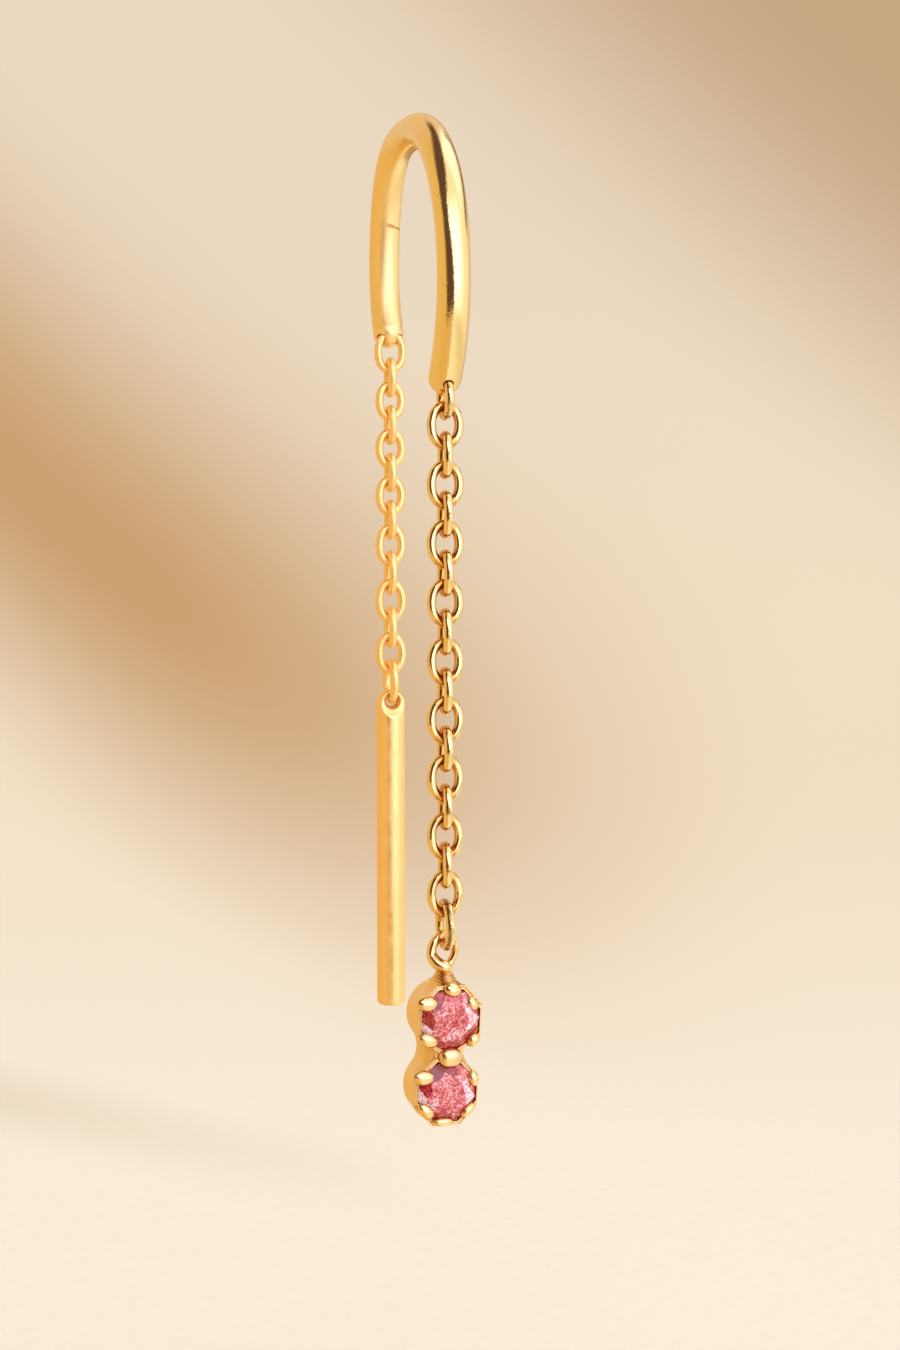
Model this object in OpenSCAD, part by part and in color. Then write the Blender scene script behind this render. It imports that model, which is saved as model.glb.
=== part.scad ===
// Chain drop earring, worn through the lobe: a bent ear bar, a chain with a two-stone
// pendant in front, and a finer chain with a straight bar behind.
// Millimetres. +Z is up, the ear bar bends in the YZ plane, the pendant faces -Y.
// The origin is on the middle of the ear bar's wire at its highest point.

/* [Ear bar] */
// Diameter of the round wire
bar_d = 1.04; // [0.8:0.02:1.2]
// Length of the straight top, from the highest point to each side
top_flat = 0.7; // [0.6:0.05:0.8]
// Length of the straight stretch on each leg's widest point
side_flat = 0.58; // [0.5:0.02:0.62]
// Bend radius of the front shoulder, on the middle of the wire
front_top_r = 4.6; // [4.5:0.05:4.7]
// Bend radius of the front leg below its widest point
front_r = 4.7; // [4.6:0.05:4.8]
// Bend radius of the rear shoulder
rear_top_r = 3.6; // [3.55:0.05:3.65]
// Bend radius of the rear leg below its widest point
rear_r = 4.8; // [4.7:0.05:4.9]
// Angle that the front leg turns inwards below its widest point
front_sweep = 41.2; // [40.5:0.1:42]
// Angle that the rear leg turns inwards below its widest point
rear_sweep = 29.4; // [28.8:0.1:30]

/* [Chain] */
// Wire diameter of the links and rings
wire_d = 0.29; // [0.25:0.01:0.32]
// Outer diameter of the front chain's tube, as wide as its links
chain_d = 1.1; // [0.8:0.05:1.17]
// Outer diameter of the rear chain's tube, as wide as its links
rear_chain_d = 1.0; // [0.8:0.05:1.1]
// Outer diameter of the ring in the front end
front_ring_d = 1.45; // [1.4:0.01:1.5]
// Outer diameter of the ring that carries the pendant
pendant_ring_d = 1.64; // [1.5:0.01:1.7]
// Outer width of the link in the rear end
rear_ring_w = 1.12; // [1.1:0.01:1.16]
// Outer height of the link in the rear end
rear_ring_h = 1.5; // [1.46:0.01:1.54]
// Outer diameter of the ring that carries the threader bar
bar_ring_d = 1.6; // [1.5:0.01:1.64]

/* [Pendant] */
// Diameter of each round stone
stone_d = 2; // [1.9:0.02:2.04]
// Distance between the two stones' centres
stone_pitch = 2.39; // [2.34:0.01:2.5]
// Outer diameter of each round lobe of the setting
lobe_d = 2.18; // [2.12:0.01:2.24]
// Width of the setting's waist
waist_w = 1.38; // [1.2:0.02:1.5]
// Depth of the setting's wall, front to back
wall_depth = 1.28; // [1.2:0.02:1.5]
// Outer width of the bail
bail_w = 1.1; // [1.04:0.01:1.2]
// Outer height of the bail
bail_h = 1.38; // [1.34:0.01:1.42]
// Angle at which the pendant hangs, its foot towards -X
pendant_lean = 2.8; // [0:0.1:4]
// Angle by which the pendant is turned about its own height
pendant_turn = 3; // [0:0.5:5]
// Width of a prong's rounded tip
prong_w = 0.42; // [0.36:0.01:0.46]

/* [Threader bar] */
// Diameter of the straight bar
threader_d = 1.02; // [0.9:0.02:1.1]
// Length of the straight bar
threader_l = 11.4; // [9:0.1:14]
// Diameter of the hole across its top
threader_hole_d = 0.4; // [0.38:0.01:0.42]

/* [Hidden] */
$fn = 64;

gold = [0.86, 0.62, 0.28];
rose = [0.85, 0.36, 0.42];

wire_r = wire_d / 2;
fit_gap = 0.04;                       // play of a ring in its hole
hang_gap = 0.02;                      // gap between two pieces that hang on each other

// Where the two chains hang
front_y = -4.15;
rear_y = 3.42;

// Centres of the bends below the widest points, as [y, z]
front_c = [front_r - front_top_r - top_flat, -front_top_r - side_flat];
rear_c = [top_flat + rear_top_r - rear_r, -rear_top_r - side_flat];
end_in = 0.04;                        // how far the end domes' centres sit back in the wire
end_play = 0.004;                     // and how much slimmer they are

// Heights of the pieces that hang
front_ring_z = -9.0;
front_chain_z = [-9.78, -25.21];      // top and bottom of the front chain's tube
pendant_ring_z = -26.08;
rear_ring_z = -7.22;
rear_wire_r = 0.135;
rear_chain_z = [-8.02, -18.04];
bar_ring_z = -18.89;
bar_wire_r = 0.14;

// The ring's lowest stretch of wire, on which the bail turns
pivot_z = pendant_ring_z - pendant_ring_d / 2 + wire_r;
bail_r = 0.155;                       // half the bail's wire
bail_top = pivot_z + wire_r + hang_gap + 2 * bail_r;
bail_z = bail_top - bail_h / 2;
upper_drop = 2.75;                    // from the bail's top down to the upper stone's centre
neck_x = -0.05;                       // the neck sits a little to one side of the lobes

// The ring's lowest stretch of wire, on which the threader bar turns
bar_pivot_z = bar_ring_z - bar_ring_d / 2 + bar_wire_r;
threader_hole_z = bar_pivot_z + bar_wire_r + hang_gap - threader_hole_d / 2;
threader_top = threader_hole_z + threader_hole_d / 2 + 0.2;

// Stone: heights from its girdle, the setting's front rim at -Y
crown_h = 0.3;
girdle_h = 0.06;
pavilion_h = 0.82;
table_r = stone_d * 0.29;

// Prongs: angle round the stone they hold, from +X towards +Z
upper_prongs = [90, 149, 226, 326, 36];
lower_prongs = [149, 32, 227, 326, 270];
prong_seat = lobe_d / 2 - 0.12;       // distance of a prong's middle from the stone's axis

// A ring of round wire in the XY plane
module torus(r, wr) rotate_extrude() translate([r, 0]) circle(wr);

// The part of a ring from a through da degrees
module arc_wire(r, wr, a, da) rotate([0, 0, a]) rotate_extrude(angle = da) translate([r, 0]) circle(wr);

// Puts an XY shape into the YZ plane
module in_yz() rotate([90, 0, 90]) children();

// Puts an XY shape into the XZ plane
module in_xz() rotate([90, 0, 0]) children();

// An oval link in the XY plane: two half rings and two straight sides
module oval(w, h, wr) {
    r = w / 2 - wr;
    s = (h - w) / 2;
    translate([0, s, 0]) arc_wire(r, wr, 0, 180);
    translate([0, -s, 0]) arc_wire(r, wr, 180, 180);
    for (x = [-r, r]) translate([x, -s, 0]) rotate([-90, 0, 0]) cylinder(r = wr, h = 2 * s);
}

// Half a ball, its flat face down
module dome(r) intersection() {
    sphere(r);
    translate([-2 * r, -2 * r, 0]) cube(4 * r);
}

// Rings of a tube of n sides along a route
function unit(v) = v / norm(v);
function along(p, i) = unit(p[min(i + 1, len(p) - 1)] - p[max(i - 1, 0)]);
function ring_at(c, t, r, n) =
    let (u = unit(cross(t, [0, 1, 0])), v = cross(u, t))
    [for (k = [0:n - 1]) c + r * (cos(360 * k / n) * u + sin(360 * k / n) * v)];
function tube_points(p, r, n) = [for (i = [0:len(p) - 1]) each ring_at(p[i], along(p, i), r, n)];
function tube_faces(m, n) = concat(
    [[for (k = [0:n - 1]) k]],
    [for (i = [0:m - 2]) for (k = [0:n - 1])
        [i * n + k, (i + 1) * n + k, (i + 1) * n + (k + 1) % n, i * n + (k + 1) % n]],
    [[for (k = [n - 1:-1:0]) (m - 1) * n + k]]);
module tube(route, d, n) polyhedron(tube_points(route, d / 2, n), tube_faces(len(route), n));

// A straight hanging route from the top height to the bottom one in equal steps
function hanging(y, z, steps) = [for (i = [0:steps]) [0, y, z[0] + (z[1] - z[0]) * i / steps]];

// A leg's end dome, a degrees round the bend about c; s is -1 in front and 1 behind
module leg_end(c, r, a, s) {
    b = a - end_in / r * 180 / PI;
    translate([0, c.x + s * r * cos(b), c.y - r * sin(b)]) sphere(bar_d / 2 - end_play);
}

// The round wire of the ear bar with its two domed ends
module bent_bar() {
    r = bar_d / 2;
    translate([0, -top_flat, 0]) rotate([-90, 0, 0]) cylinder(r = r, h = 2 * top_flat);
    translate([0, -top_flat, -front_top_r]) in_yz() arc_wire(front_top_r, r, 90, 90);
    translate([0, top_flat, -rear_top_r]) in_yz() arc_wire(rear_top_r, r, 0, 90);
    translate([0, -top_flat - front_top_r, front_c.y]) cylinder(r = r, h = side_flat);
    translate([0, top_flat + rear_top_r, rear_c.y]) cylinder(r = r, h = side_flat);
    translate([0, front_c.x, front_c.y]) in_yz() arc_wire(front_r, r, 180, front_sweep);
    translate([0, rear_c.x, rear_c.y]) in_yz() arc_wire(rear_r, r, 0, -rear_sweep);
    leg_end(front_c, front_r, front_sweep, -1);
    leg_end(rear_c, rear_r, rear_sweep, 1);
}

module ear_bar() color(gold) difference() {
    bent_bar();
    // curved hole, front to back, that the front ring runs through
    translate([0, front_y, front_ring_z]) in_yz()
        torus(front_ring_d / 2 - wire_r, wire_r + fit_gap);
    // its two mouths
    for (s = [-1, 1])
        translate([0, front_y + s * 0.2, front_ring_z + front_ring_d / 2 - wire_r])
            rotate([-s * 90, 0, 0]) cylinder(r1 = wire_r + fit_gap - 0.02, r2 = 0.42, h = 0.6);
    // curved hole, side to side, that the rear ring runs through
    translate([0, rear_y, rear_ring_z + (rear_ring_h - rear_ring_w) / 2]) in_xz()
        torus(rear_ring_w / 2 - rear_wire_r, rear_wire_r + fit_gap);
}

module front_ring() color(gold)
    translate([0, front_y, front_ring_z]) in_yz() torus(front_ring_d / 2 - wire_r, wire_r);

module front_chain() color(gold) tube(hanging(front_y, front_chain_z, 6), chain_d, 10);

module pendant_ring() color(gold)
    translate([0, front_y, pendant_ring_z]) in_yz() torus(pendant_ring_d / 2 - wire_r, wire_r);

module rear_ring() color(gold)
    translate([0, rear_y, rear_ring_z]) in_xz() oval(rear_ring_w, rear_ring_h, rear_wire_r);

module rear_chain() color(gold) tube(hanging(rear_y, rear_chain_z, 4), rear_chain_d, 10);

module bar_ring() color(gold)
    translate([0, rear_y, bar_ring_z]) in_yz() torus(bar_ring_d / 2 - bar_wire_r, bar_wire_r);

// Everything on the pendant is drawn about the bail's top, then hung
module hung() translate([0, front_y, pivot_z]) rotate([0, pendant_lean, pendant_turn])
    translate([0, 0, bail_top - pivot_z]) children();

// Stone shape, its girdle on the XY plane and its table up; g enlarges it all round
module stone_shape(g = 0) rotate_extrude() polygon([
    [0, -pavilion_h - girdle_h / 2 - 1.3 * g],
    [stone_d / 2 + g, -girdle_h / 2 - g * 0.4],
    [stone_d / 2 + g, girdle_h / 2 + g * 0.4],
    [table_r + g * 0.5, crown_h + g],
    [0, crown_h + g]]);

// Puts a stone's axis along -Y at height z, its girdle on the setting's rim
module at_seat(z) translate([-neck_x, -wall_depth / 2 - 0.03, z]) rotate([90, 0, 0]) children();

// The front outline of the two lobes and the waist between them
module lobes() {
    r = lobe_d / 2;
    h = stone_pitch / 2;
    w = waist_w / 2;
    f = (w * w + h * h - r * r) / (2 * (r - w));   // radius of the waist's hollow
    c = w + f;
    t = [c, h] / norm([c, h]) * r;                  // where a lobe meets the hollow
    difference() {
        union() {
            for (s = [-1, 1]) translate([0, s * h]) circle(r);
            polygon([[t.x, h - t.y], [t.x, t.y - h], [-t.x, t.y - h], [-t.x, h - t.y]]);
        }
        for (s = [-1, 1]) translate([s * c, 0]) circle(f);
    }
}

// A prong's rounded tip, lying inwards over the stone's edge
module prong(a, reach = 0) rotate([0, 0, a]) translate([prong_seat, 0, 0]) {
    r = prong_w / 2;
    translate([0, 0, 0.13]) rotate([0, -90, 0]) cylinder(r = r, h = 0.1 + reach);
    translate([-0.1 - reach, 0, 0.13]) sphere(r);
    translate([0, 0, 0.13]) sphere(r);
    translate([0, 0, -0.4]) cylinder(r = r * 0.9, h = 0.53);
}

module pendant_setting() color(gold) hung() difference() {
    union() {
        // bail
        translate([0, 0, -bail_h / 2]) in_xz() oval(bail_w, bail_h, bail_r);
        // neck, from the bail's foot into the upper lobe
        translate([0, 0, -bail_h - 0.45]) cylinder(r1 = 0.55, r2 = 0.24, h = 0.55);
        // wall
        translate([-neck_x, wall_depth / 2, -upper_drop - stone_pitch / 2]) rotate([90, 0, 0])
            linear_extrude(wall_depth) lobes();
        at_seat(-upper_drop) for (a = upper_prongs) prong(a);
        at_seat(-upper_drop - stone_pitch) for (a = lower_prongs) prong(a);
        // the wide prong that both stones share
        at_seat(-upper_drop - stone_pitch / 2) translate([0, 0, 0.11]) {
            sphere(0.3);
            translate([0, 0, -0.5]) cylinder(r = 0.28, h = 0.5);
        }
    }
    for (z = [-upper_drop, -upper_drop - stone_pitch]) at_seat(z) {
        stone_shape(0.02);
        // the open back under the stone
        translate([0, 0, -wall_depth - 1]) cylinder(r = 0.5, h = wall_depth + 0.6);
    }
}

module upper_stone() color(rose) hung() at_seat(-upper_drop) stone_shape();

module lower_stone() color(rose) hung() at_seat(-upper_drop - stone_pitch) stone_shape();

module threader_bar() color(gold) translate([0, rear_y, 0]) difference() {
    r = threader_d / 2;
    e = 0.12;                          // rounding of the lower end
    union() {
        translate([0, 0, threader_top - r]) dome(r);
        translate([0, 0, threader_top - threader_l + e])
            cylinder(r = r, h = threader_l - r - e);
        translate([0, 0, threader_top - threader_l]) cylinder(r1 = r - e, r2 = r, h = e);
    }
    // hole, front to back
    translate([0, 0, threader_hole_z]) rotate([90, 0, 0])
        cylinder(r = threader_hole_d / 2, h = 2 * threader_d, center = true);
    // hollows, front and back, that thin the top for the ring
    for (s = [-1, 1]) translate([0, s * 1.06, threader_hole_z + 0.05]) rotate([0, 90, 0])
        cylinder(r = 0.8, h = 2 * threader_d, center = true);
}

ear_bar();
front_ring();
front_chain();
pendant_ring();
pendant_setting();
upper_stone();
lower_stone();
rear_ring();
rear_chain();
bar_ring();
threader_bar();
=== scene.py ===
import math

import bpy
import numpy as np
from mathutils import Matrix, Vector


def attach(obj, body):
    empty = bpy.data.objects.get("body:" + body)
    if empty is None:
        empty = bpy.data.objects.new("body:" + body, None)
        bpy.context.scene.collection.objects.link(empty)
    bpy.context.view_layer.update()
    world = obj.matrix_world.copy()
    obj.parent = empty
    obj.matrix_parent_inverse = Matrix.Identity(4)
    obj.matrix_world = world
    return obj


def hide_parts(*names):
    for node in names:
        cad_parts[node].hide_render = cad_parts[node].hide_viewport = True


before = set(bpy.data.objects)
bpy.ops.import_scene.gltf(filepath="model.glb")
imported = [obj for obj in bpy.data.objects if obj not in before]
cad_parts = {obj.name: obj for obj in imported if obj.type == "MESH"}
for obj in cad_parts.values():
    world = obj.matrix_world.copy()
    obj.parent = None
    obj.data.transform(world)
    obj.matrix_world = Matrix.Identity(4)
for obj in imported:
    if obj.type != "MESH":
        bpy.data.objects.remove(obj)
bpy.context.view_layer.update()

MM = 0.001
PI = math.pi

# Shapes are worked out in millimetres in the row frame and made in metres.


# ---------------------------------------------------------------- mesh helpers

def make_mesh(name, verts, faces, material, smooth=True, normals=None):
    data = bpy.data.meshes.new(name)
    verts = np.asarray(verts, float) * MM
    data.from_pydata(verts.tolist(), [], [tuple(int(i) for i in f) for f in faces])
    data.polygons.foreach_set("use_smooth", [bool(smooth)] * len(data.polygons))
    data.materials.append(material)
    data.update()
    if normals is not None:
        data.normals_split_custom_set_from_vertices(np.asarray(normals, float).tolist())
    obj = bpy.data.objects.new(name, data)
    bpy.context.scene.collection.objects.link(obj)
    return obj


def quads(m, n, closed):
    i = np.arange(m if closed else m - 1)
    k = np.arange(n)
    a, b = np.meshgrid(i, k, indexing="ij")
    a2, b2 = (a + 1) % m, (b + 1) % n
    return np.stack([a * n + b, a * n + b2, a2 * n + b2, a2 * n + b], -1).reshape(-1, 4)


def loop_tube(path, across, radius, sides=24):
    """A closed tube along a flat closed path; across is the path's plane normal, radius a number or one per point."""
    p = np.asarray(path, float)
    t = np.roll(p, -1, 0) - np.roll(p, 1, 0)
    t /= np.linalg.norm(t, axis=1)[:, None]
    b = np.asarray(across, float)
    u = np.cross(t, b)
    u /= np.linalg.norm(u, axis=1)[:, None]
    r = np.broadcast_to(np.asarray(radius, float), (len(p),))
    a = np.arange(sides) * 2 * PI / sides
    pts = (p[:, None, :]
           + (r[:, None] * np.cos(a))[:, :, None] * u[:, None, :]
           + (r[:, None] * np.sin(a))[:, :, None] * b[None, None, :])
    return pts.reshape(-1, 3), quads(len(p), sides, True)


def link_path(length, width, wire, n=72, power=2.12):
    """Centreline of a link in the XZ plane about the origin, its length along Z."""
    t = np.arange(n) * 2 * PI / n
    c, s = np.cos(t), np.sin(t)
    e = 2.0 / power
    x = (width - wire) / 2 * np.sign(c) * np.abs(c) ** e
    z = (length - wire) / 2 * np.sign(s) * np.abs(s) ** e
    return np.stack([x, 0 * x, z], -1)


def turn(axis, degrees):
    return np.array(Matrix.Rotation(math.radians(degrees), 3, axis))


def link_mesh(length, width, wire, centre, yaw, tilt=0.0, sides=22, seam_and_painted_line=None, power=2.12):
    path = link_path(length, width, wire, power=power)
    r = np.full(len(path), wire / 2)
    if seam_and_painted_line is not None:
        t = np.degrees(np.arctan2(path[:, 2], path[:, 0]))
        d = np.abs((t - seam_and_painted_line + 180) % 360 - 180)
        r *= 1 + 0.035 * np.exp(-(d / 9) ** 2)
    v, f = loop_tube(path, (0, -1, 0), r, sides)
    m = turn("Z", yaw) @ turn("Y", tilt)
    return v @ m.T + np.asarray(centre, float), f


def join(parts):
    verts, faces, at = [], [], 0
    for v, f in parts:
        verts.append(v)
        faces.append(np.asarray(f) + at)
        at += len(v)
    return np.concatenate(verts), np.concatenate(faces)


# ------------------------------------------------- surfaces from distance fields

def nets(f, lo, hi, step):
    """A closed quad mesh of f = 0 inside the box, drawn onto the surface, with its normals."""
    axes = [np.arange(a - step, b + 2 * step, step) for a, b in zip(lo, hi)]
    x, y, z = np.meshgrid(*axes, indexing="ij", sparse=True)
    v = f(x, y, z)
    inside = v < 0
    shape = tuple(s - 1 for s in v.shape)

    def corner(i, j, k):
        return (slice(i, i + shape[0]), slice(j, j + shape[1]), slice(k, k + shape[2]))

    corners = [(i, j, k) for i in (0, 1) for j in (0, 1) for k in (0, 1)]
    count = sum(inside[corner(*c)].astype(np.int8) for c in corners)
    cells = np.argwhere((count > 0) & (count < 8))
    index = np.full(shape, -1, np.int64)
    index[tuple(cells.T)] = np.arange(len(cells))
    total, hits = np.zeros((len(cells), 3)), np.zeros(len(cells))
    for a in corners:
        for d in range(3):
            if a[d]:
                continue
            b = tuple(c + (1 if e == d else 0) for e, c in enumerate(a))
            va = v[tuple((cells + a).T)]
            vb = v[tuple((cells + b).T)]
            cross = (va < 0) != (vb < 0)
            t = np.where(cross, va / np.where(cross, va - vb, 1), 0)
            p = np.tile(np.asarray(a, float), (len(cells), 1))
            p[:, d] += t
            total += np.where(cross[:, None], p, 0)
            hits += cross
    pts = (cells + total / hits[:, None]) * step + np.array([a[0] for a in axes])
    faces = []
    for d in range(3):
        e, g = (d + 1) % 3, (d + 2) % 3
        s0 = [slice(None)] * 3
        s1 = [slice(None)] * 3
        s0[d], s1[d] = slice(0, -1), slice(1, None)
        for s in (s0, s1):
            s[e] = slice(1, -1)
            s[g] = slice(1, -1)
        ia, ib = inside[tuple(s0)], inside[tuple(s1)]
        for flip, mask in ((False, ia & ~ib), (True, ~ia & ib)):
            at = np.argwhere(mask)
            at[:, e] += 1
            at[:, g] += 1
            quad = []
            for de, dg in ((1, 1), (0, 1), (0, 0), (1, 0)):
                q = at.copy()
                q[:, e] -= de
                q[:, g] -= dg
                quad.append(index[tuple(q.T)])
            quad = np.stack(quad, -1)
            # the four cells round an edge, counted so that the face looks outwards
            faces.append(quad[:, ::-1] if flip else quad)
    faces = np.concatenate(faces)
    h = step * 0.08

    def grad(p):
        g = np.empty_like(p)
        for d in range(3):
            q = p.copy()
            q[:, d] += h
            r = p.copy()
            r[:, d] -= h
            g[:, d] = (f(*q.T) - f(*r.T)) / (2 * h)
        return g

    for _ in range(3):
        g = grad(pts)
        n2 = np.maximum((g * g).sum(1), 1e-3)
        move = -(f(*pts.T) / n2)[:, None] * g
        size = np.linalg.norm(move, axis=1)
        move *= np.minimum(1, 0.5 * step / np.maximum(size, 1e-12))[:, None]
        pts = pts + move
    g = grad(pts)
    normals = g / np.maximum(np.linalg.norm(g, axis=1), 1e-9)[:, None]
    return pts, faces, normals


def smin(a, b, k):
    h = np.maximum(k - np.abs(a - b), 0) / k
    return np.minimum(a, b) - h * h * k * 0.25


def smax(a, b, k):
    return -smin(-a, -b, k)


def ease(a, b, x):
    t = np.clip((x - a) / (b - a), 0, 1)
    return t * t * (3 - 2 * t)


def segment(x, y, z, a, b, ra, rb):
    """Distance to a straight piece of wire from a to b whose radius goes from ra to rb."""
    a, b = np.asarray(a, float), np.asarray(b, float)
    d = b - a
    px, py, pz = x - a[0], y - a[1], z - a[2]
    t = np.clip((px * d[0] + py * d[1] + pz * d[2]) / (d @ d), 0, 1)
    return np.sqrt((px - t * d[0]) ** 2 + (py - t * d[1]) ** 2 + (pz - t * d[2]) ** 2) - (ra + t * (rb - ra))


def arc_distance(x, y, z, c, r, a0, a1):
    """Distance to an arc in the YZ plane about c with radius r, from a0 to a1 degrees."""
    u, w = y - c[0], z - c[1]
    mid, half = (a0 + a1) / 2, (a1 - a0) / 2
    ang = np.degrees(np.arctan2(w, u))
    off = (ang - mid + 180) % 360 - 180
    inside = np.abs(off) <= half
    rho = np.sqrt(u * u + w * w)
    on = np.sqrt(x * x + (rho - r) ** 2)
    ends = []
    for a in (a0, a1):
        ey, ez = r * math.cos(math.radians(a)), r * math.sin(math.radians(a))
        ends.append(np.sqrt(x * x + (u - ey) ** 2 + (w - ez) ** 2))
    return np.where(inside, on, np.minimum(*ends))


# ------------------------------------------------------------------- materials

def nodes_of(material):
    material.use_nodes = True
    tree = material.node_tree
    tree.nodes.clear()
    out = tree.nodes.new("ShaderNodeOutputMaterial")
    shader = tree.nodes.new("ShaderNodeBsdfPrincipled")
    tree.links.new(shader.outputs["BSDF"], out.inputs["Surface"])
    return tree, shader, out


def noise(tree, vector, scale, detail=3.0, rough=0.55):
    n = tree.nodes.new("ShaderNodeTexNoise")
    n.inputs["Scale"].default_value = scale
    n.inputs["Detail"].default_value = detail
    n.inputs["Roughness"].default_value = rough
    tree.links.new(vector, n.inputs["Vector"])
    return n.outputs["Fac"]


def spread(tree, value, a, b, c, d):
    m = tree.nodes.new("ShaderNodeMapRange")
    m.inputs["From Min"].default_value = a
    m.inputs["From Max"].default_value = b
    m.inputs["To Min"].default_value = c
    m.inputs["To Max"].default_value = d
    tree.links.new(value, m.inputs["Value"])
    return m.outputs["Result"]


def ramp(tree, value, stops):
    r = tree.nodes.new("ShaderNodeValToRGB")
    e = r.color_ramp.elements
    while len(e) > 1:
        e.remove(e[-1])
    e[0].position, e[0].color = stops[0][0], (*stops[0][1], 1)
    for at, colour in stops[1:]:
        k = e.new(at)
        k.color = (*colour, 1)
    tree.links.new(value, r.inputs["Fac"])
    return r.outputs["Color"]


def calc(tree, kind, a, b=None, c=None):
    m = tree.nodes.new("ShaderNodeMath")
    m.operation = kind
    for s, v in zip(m.inputs, (a, b, c)):
        if v is None:
            continue
        if isinstance(v, (int, float)):
            s.default_value = v
        else:
            tree.links.new(v, s)
    return m.outputs[0]


def in_mm(tree):
    c = tree.nodes.new("ShaderNodeTexCoord")
    m = tree.nodes.new("ShaderNodeMapping")
    m.inputs["Scale"].default_value = (1000, 1000, 1000)
    tree.links.new(c.outputs["Object"], m.inputs["Vector"])
    return m.outputs["Vector"]


def crevice(tree, base, reach, colour, most, lo=0.42, hi=0.92):
    """Base colour with painted brown shade where the surface is hemmed in."""
    ao = tree.nodes.new("ShaderNodeAmbientOcclusion")
    ao.samples = 8
    ao.inputs["Distance"].default_value = reach * MM
    m = tree.nodes.new("ShaderNodeMix")
    m.data_type = "RGBA"
    m.clamp_factor = True
    tree.links.new(spread(tree, ao.outputs["AO"], lo, hi, most, 0.0), m.inputs[0])
    tree.links.new(base, m.inputs[6])
    m.inputs[7].default_value = (*colour, 1)
    return m.outputs[2]


def gold(name, colour, rough, grain, grain_scale=18.0, wave=0.0, satin_and_painted_line_behind=0.0, crevice_shade=0.0, satin_below_and_painted_shade=None):
    """Polished gold: fine grain in the surface, soft smears in its gloss and small differences in tone."""
    material = bpy.data.materials.new(name)
    tree, s, _ = nodes_of(material)
    at = in_mm(tree)
    s.inputs["Metallic"].default_value = 1.0
    s.inputs["IOR"].default_value = 1.5
    tone = noise(tree, at, 1.1, 3.0)
    r, g, b = colour
    link = ramp(tree, tone, [(0.30, (r, g, b)), (0.70, (r * 0.985, g * 0.95, b * 0.88))])
    # painted brown shade in the crevices
    if crevice_shade:
        link = crevice(tree, link, 0.26, (0.46, 0.16, 0.025), crevice_shade, 0.36, 0.80)
    if satin_below_and_painted_shade is not None:
        # a broader painted shade over the hollows of the setting
        link = crevice(tree, link, 0.9, (0.64, 0.35, 0.10), 0.9, 0.5, 0.97)
    if satin_and_painted_line_behind:
        # a painted dark line across the inner side of the rear leg, where two reflections meet, finer to the right
        where = tree.nodes.new("ShaderNodeSeparateXYZ")
        tree.links.new(at, where.inputs[0])
        level = calc(tree, "ADD", calc(tree, "MULTIPLY_ADD", where.outputs[0], 0.22, where.outputs[2]), 2.76)
        level = calc(tree, "ADD", calc(tree, "ABSOLUTE", level), calc(tree, "MULTIPLY", noise(tree, at, 6.0), 0.06))
        level = calc(tree, "ADD", level, calc(tree, "MULTIPLY_ADD", where.outputs[0], 0.10, -0.055))
        seam_and_painted_line = calc(tree, "MULTIPLY", spread(tree, level, 0.03, 0.06, 0.8, 0.0), spread(tree, where.outputs[1], 2.4, 2.6, 0.0, 1.0))
        seam_and_painted_line = calc(tree, "MULTIPLY", seam_and_painted_line, spread(tree, where.outputs[0], -0.12, 0.02, 0.0, 1.0))
        m = tree.nodes.new("ShaderNodeMix")
        m.data_type = "RGBA"
        m.clamp_factor = True
        tree.links.new(seam_and_painted_line, m.inputs[0])
        tree.links.new(link, m.inputs[6])
        m.inputs[7].default_value = (0.50, 0.22, 0.06, 1)
        link = m.outputs[2]
    tree.links.new(link, s.inputs["Base Color"])
    smear = noise(tree, at, 2.6, 5.0, 0.65)
    gloss = spread(tree, smear, 0.3, 0.75, rough * 0.75, rough * 1.5)
    if satin_and_painted_line_behind:
        # the part behind the ear is more worn
        split = tree.nodes.new("ShaderNodeSeparateXYZ")
        tree.links.new(at, split.inputs[0])
        gloss = calc(tree, "ADD", gloss, spread(tree, split.outputs[1], -0.5, 3.0, 0.0, satin_and_painted_line_behind))
    if satin_below_and_painted_shade is not None:
        # the setting is softer in its gloss than the bail above it
        split = tree.nodes.new("ShaderNodeSeparateXYZ")
        tree.links.new(at, split.inputs[0])
        gloss = calc(tree, "ADD", gloss, spread(tree, split.outputs[2], satin_below_and_painted_shade - 0.4, satin_below_and_painted_shade, 0.12, 0.0))
    tree.links.new(gloss, s.inputs["Roughness"])
    fine = noise(tree, at, grain_scale, 2.0, 0.6)
    broad = noise(tree, at, 3.2, 2.0, 0.5)
    height = calc(tree, "MULTIPLY_ADD", broad, wave, fine)
    bump = tree.nodes.new("ShaderNodeBump")
    bump.inputs["Strength"].default_value = 1.0
    bump.inputs["Distance"].default_value = grain * MM
    tree.links.new(height, bump.inputs["Height"])
    tree.links.new(bump.outputs["Normal"], s.inputs["Normal"])
    return material


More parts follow.
